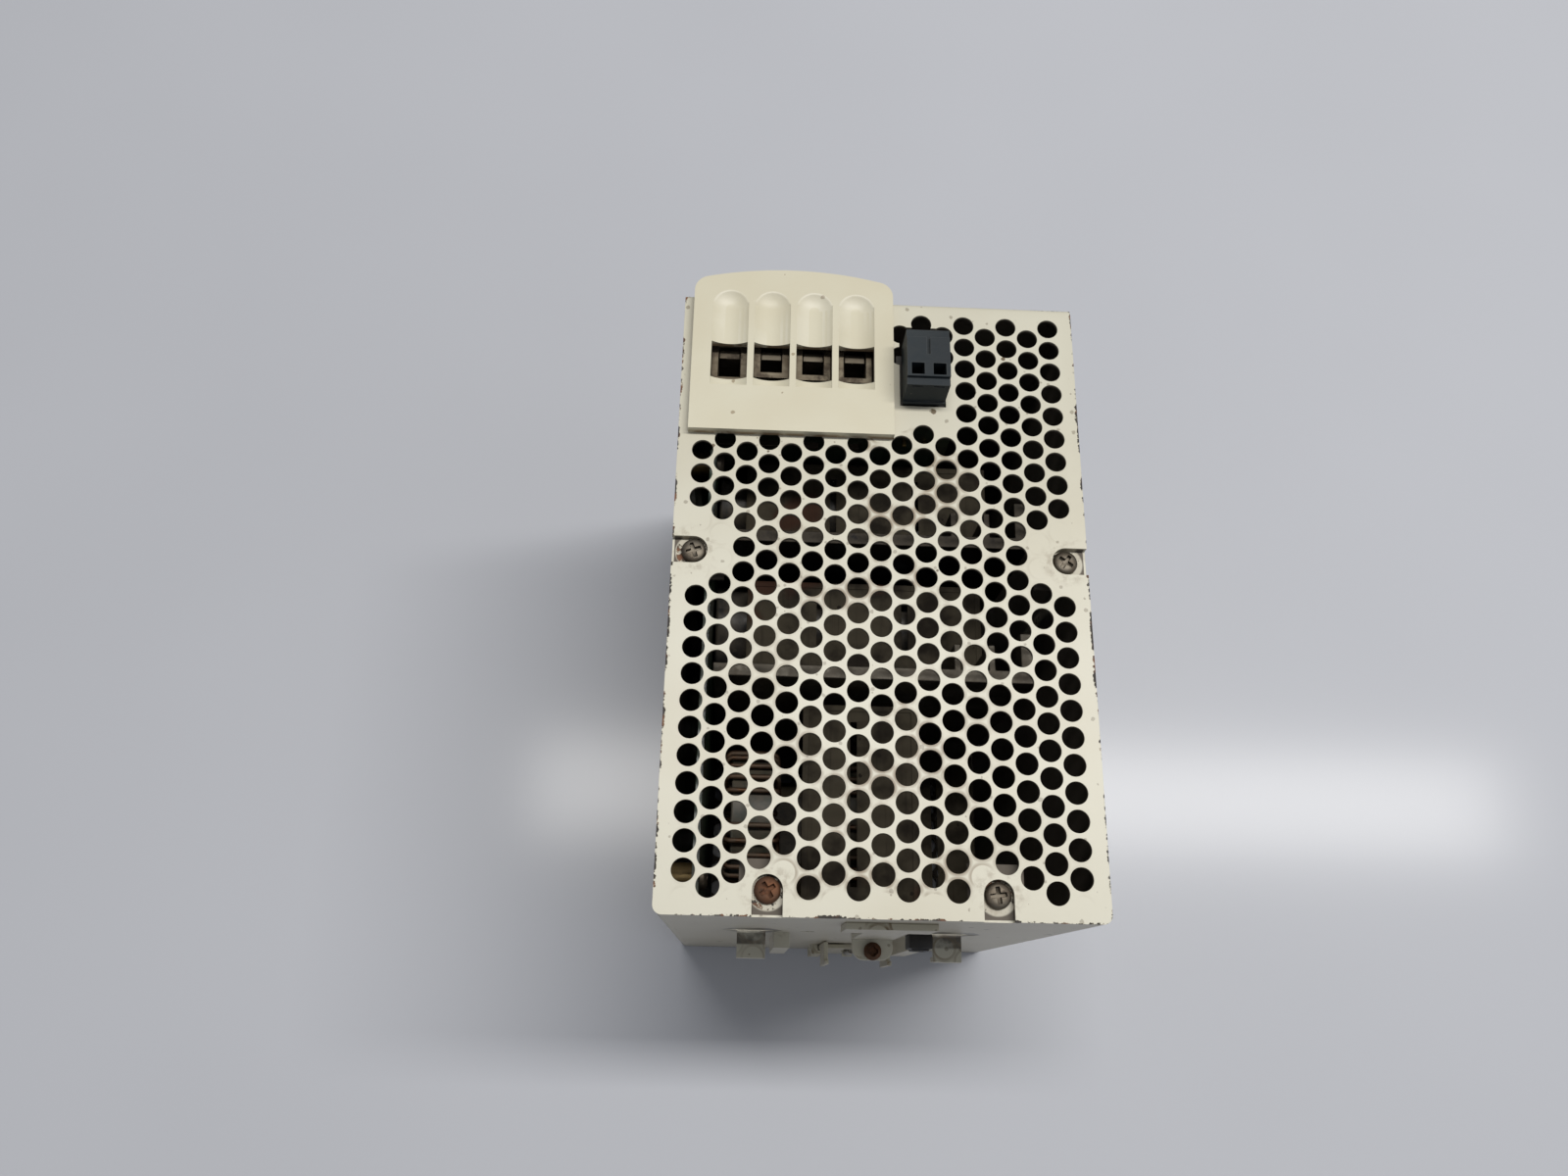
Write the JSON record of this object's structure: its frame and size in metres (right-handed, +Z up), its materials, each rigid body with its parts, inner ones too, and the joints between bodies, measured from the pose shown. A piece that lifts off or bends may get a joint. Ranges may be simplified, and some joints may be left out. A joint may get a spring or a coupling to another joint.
{
  "type": "din rail power supply",
  "caption": "Perforated sheet-steel power supply with cage-clamp wire terminals at both ends, a pull-off signal plug and a sprung clip for a 35 mm rail.",
  "frame": {"origin": "under the middle of the case, level with the lowest face", "axes": "+Z up, the terminals and controls face -Y, the rail clip is on the +Y side, X runs across the width"},
  "size_m": [0.0952, 0.1596, 0.1505],
  "materials": {
    "cream_paint": "satin powder coat, fine specks",
    "cream_plastic": "fine moulded grain",
    "black_plastic": "fine moulded grain",
    "plug_plastic": "fine moulded grain",
    "screw_steel": "dulled zinc",
    "rusty_steel": "rust",
    "cage_steel": "zinc plate, dulled",
    "tinned_copper": "tin plate",
    "gold_pins": "plated",
    "brass_posts": "turned",
    "board": "solder mask",
    "clear_sheet": "satin film",
    "label": "satin film",
    "blue_plastic": "moulded",
    "white_plastic": "moulded",
    "green_lens": "clear moulded",
    "red_lens": "clear moulded",
    "aluminium": "mill finish",
    "ferrite": "sintered",
    "winding_tape": "polyester tape",
    "choke_core": "epoxy coat",
    "copper": "enamelled wire",
    "capacitor_sleeve": "shrunk sleeve",
    "spring_steel": "zinc plate"
  },
  "bodies": {
    "case": {"chassis": "cream_paint", "top_grille": "cream_paint", "bottom_grille": "cream_paint", "front_panel": "cream_paint", "grille_screws": "screw_steel", "front_fascia": "cream_plastic", "output_terminal_cover": "cream_plastic", "input_terminal_cover": "cream_plastic", "front_label": "label", "rating_label": "label", "output_terminal_block": "black_plastic", "input_terminal_block": "black_plastic", "output_contact_bars": "tinned_copper", "input_contact_bars": "tinned_copper", "relay_header": "black_plastic", "relay_pins": "gold_pins", "main_board": "board", "front_board": "board", "signal_board": "board", "board_posts": "brass_posts", "board_screws": "screw_steel", "insulation_sheet": "clear_sheet", "trimmer_body": "blue_plastic", "selector_body": "black_plastic", "ready_light_pipe": "green_lens", "overload_light_pipe": "red_lens", "heatsinks": "aluminium", "power_transistors": "black_plastic", "transformer_core": "ferrite", "transformer_winding": "winding_tape", "choke_cores": "choke_core", "choke_windings": "copper", "bulk_capacitors": "capacitor_sleeve", "output_capacitors": "capacitor_sleeve", "rail_bracket": "cream_paint", "clamp_screw": "rusty_steel", "latch_spring": "spring_steel"},
    "output_screw_1": {"output_screw_1": "screw_steel"},
    "output_cage_1": {"output_cage_1": "cage_steel"},
    "output_screw_2": {"output_screw_2": "screw_steel"},
    "output_cage_2": {"output_cage_2": "cage_steel"},
    "output_screw_3": {"output_screw_3": "screw_steel"},
    "output_cage_3": {"output_cage_3": "cage_steel"},
    "output_screw_4": {"output_screw_4": "screw_steel"},
    "output_cage_4": {"output_cage_4": "cage_steel"},
    "input_screw_1": {"input_screw_1": "screw_steel"},
    "input_cage_1": {"input_cage_1": "cage_steel"},
    "input_screw_2": {"input_screw_2": "screw_steel"},
    "input_cage_2": {"input_cage_2": "cage_steel"},
    "input_screw_3": {"input_screw_3": "screw_steel"},
    "input_cage_3": {"input_cage_3": "cage_steel"},
    "input_screw_4": {"input_screw_4": "screw_steel"},
    "input_cage_4": {"input_cage_4": "cage_steel"},
    "settings_flap": {"settings_flap": "cream_plastic"},
    "voltage_trimmer": {"voltage_trimmer": "white_plastic"},
    "mode_selector": {"mode_selector": "white_plastic"},
    "relay_plug": {"relay_plug": "plug_plastic"},
    "plug_screw_1": {"plug_screw_1": "cage_steel"},
    "plug_screw_2": {"plug_screw_2": "cage_steel"},
    "din_latch": {"din_latch": "cream_paint"}
  },
  "joints": [
    {"name": "output_cage_1_rise", "type": "slide", "parent": "case", "child": "output_cage_1", "axis": [0, -1, 0], "range_m": [-0.0002, 0.0047]},
    {"name": "output_screw_1_turn", "type": "hinge", "parent": "case", "child": "output_screw_1", "pos_m": [0.03621, -0.0704, 0.1325], "axis": [0, 1, 0], "range_deg": [-103.86, 2418.14]},
    {"name": "output_cage_2_rise", "type": "slide", "parent": "case", "child": "output_cage_2", "axis": [0, -1, 0], "range_m": [-0.0017, 0.0032]},
    {"name": "output_screw_2_turn", "type": "hinge", "parent": "case", "child": "output_screw_2", "pos_m": [0.02605, -0.0704, 0.1325], "axis": [0, 1, 0], "range_deg": [-875.29, 1646.71]},
    {"name": "output_cage_3_rise", "type": "slide", "parent": "case", "child": "output_cage_3", "axis": [0, -1, 0], "range_m": [-0.0014, 0.0035]},
    {"name": "output_screw_3_turn", "type": "hinge", "parent": "case", "child": "output_screw_3", "pos_m": [0.01589, -0.0704, 0.1325], "axis": [0, 1, 0], "range_deg": [-721, 1801]},
    {"name": "output_cage_4_rise", "type": "slide", "parent": "case", "child": "output_cage_4", "axis": [0, -1, 0], "range_m": [-0.0011, 0.0038]},
    {"name": "output_screw_4_turn", "type": "hinge", "parent": "case", "child": "output_screw_4", "pos_m": [0.00573, -0.0704, 0.1325], "axis": [0, 1, 0], "range_deg": [-566.71, 1955.29]},
    {"name": "input_cage_1_rise", "type": "slide", "parent": "case", "child": "input_cage_1", "axis": [0, -1, 0], "range_m": [-0.0008, 0.0041]},
    {"name": "input_screw_1_turn", "type": "hinge", "parent": "case", "child": "input_screw_1", "pos_m": [0.03621, -0.0704, 0.0105], "axis": [0, 1, 0], "range_deg": [-412.43, 2109.57]},
    {"name": "input_cage_2_rise", "type": "slide", "parent": "case", "child": "input_cage_2", "axis": [0, -1, 0], "range_m": [-0.0012, 0.0037]},
    {"name": "input_screw_2_turn", "type": "hinge", "parent": "case", "child": "input_screw_2", "pos_m": [0.02605, -0.0704, 0.0105], "axis": [0, 1, 0], "range_deg": [-618.14, 1903.86]},
    {"name": "input_cage_3_rise", "type": "slide", "parent": "case", "child": "input_cage_3", "axis": [0, -1, 0], "range_m": [-0.0018, 0.0031]},
    {"name": "input_screw_3_turn", "type": "hinge", "parent": "case", "child": "input_screw_3", "pos_m": [0.01589, -0.0704, 0.0105], "axis": [0, 1, 0], "range_deg": [-926.71, 1595.29]},
    {"name": "input_cage_4_rise", "type": "slide", "parent": "case", "child": "input_cage_4", "axis": [0, -1, 0], "range_m": [-0.0005, 0.0044]},
    {"name": "input_screw_4_turn", "type": "hinge", "parent": "case", "child": "input_screw_4", "pos_m": [0.00573, -0.0704, 0.0105], "axis": [0, 1, 0], "range_deg": [-258.14, 2263.86]},
    {"name": "settings_flap_hinge", "type": "hinge", "parent": "case", "child": "settings_flap", "pos_m": [0.02097, -0.0775, 0.0561], "axis": [1, 0, 0], "range_deg": [0, 90]},
    {"name": "voltage_trimmer_turn", "type": "hinge", "parent": "case", "child": "voltage_trimmer", "pos_m": [0.02697, -0.067, 0.0745], "axis": [0, 1, 0], "range_deg": [-135, 135]},
    {"name": "mode_selector_slide", "type": "slide", "parent": "case", "child": "mode_selector", "axis": [1, 0, 0], "range_m": [0, 0.004]},
    {"name": "relay_plug_pull", "type": "slide", "parent": "case", "child": "relay_plug", "axis": [0, 0, 1], "range_m": [0, 0.012]},
    {"name": "plug_screw_1_turn", "type": "hinge", "parent": "relay_plug", "child": "plug_screw_1", "pos_m": [-0.00789, -0.0582, 0.1455], "axis": [0, 1, 0], "range_deg": [-1440, 0]},
    {"name": "plug_screw_2_turn", "type": "hinge", "parent": "relay_plug", "child": "plug_screw_2", "pos_m": [-0.01297, -0.0582, 0.1455], "axis": [0, 1, 0], "range_deg": [-1440, 0]},
    {"name": "din_latch_slide", "type": "slide", "parent": "case", "child": "din_latch", "axis": [0, 0, -1], "range_m": [0, 0.005], "stiffness_N_per_m": 2500, "springref_m": -0.004, "deforming": ["latch_spring"]}
  ],
  "couplings": [
    {"joint": "output_screw_1_turn", "follows": "output_cage_1_rise", "rad_per_m": 8976},
    {"joint": "output_screw_2_turn", "follows": "output_cage_2_rise", "rad_per_m": 8976},
    {"joint": "output_screw_3_turn", "follows": "output_cage_3_rise", "rad_per_m": 8976},
    {"joint": "output_screw_4_turn", "follows": "output_cage_4_rise", "rad_per_m": 8976},
    {"joint": "input_screw_1_turn", "follows": "input_cage_1_rise", "rad_per_m": 8976},
    {"joint": "input_screw_2_turn", "follows": "input_cage_2_rise", "rad_per_m": 8976},
    {"joint": "input_screw_3_turn", "follows": "input_cage_3_rise", "rad_per_m": 8976},
    {"joint": "input_screw_4_turn", "follows": "input_cage_4_rise", "rad_per_m": 8976}
  ]
}
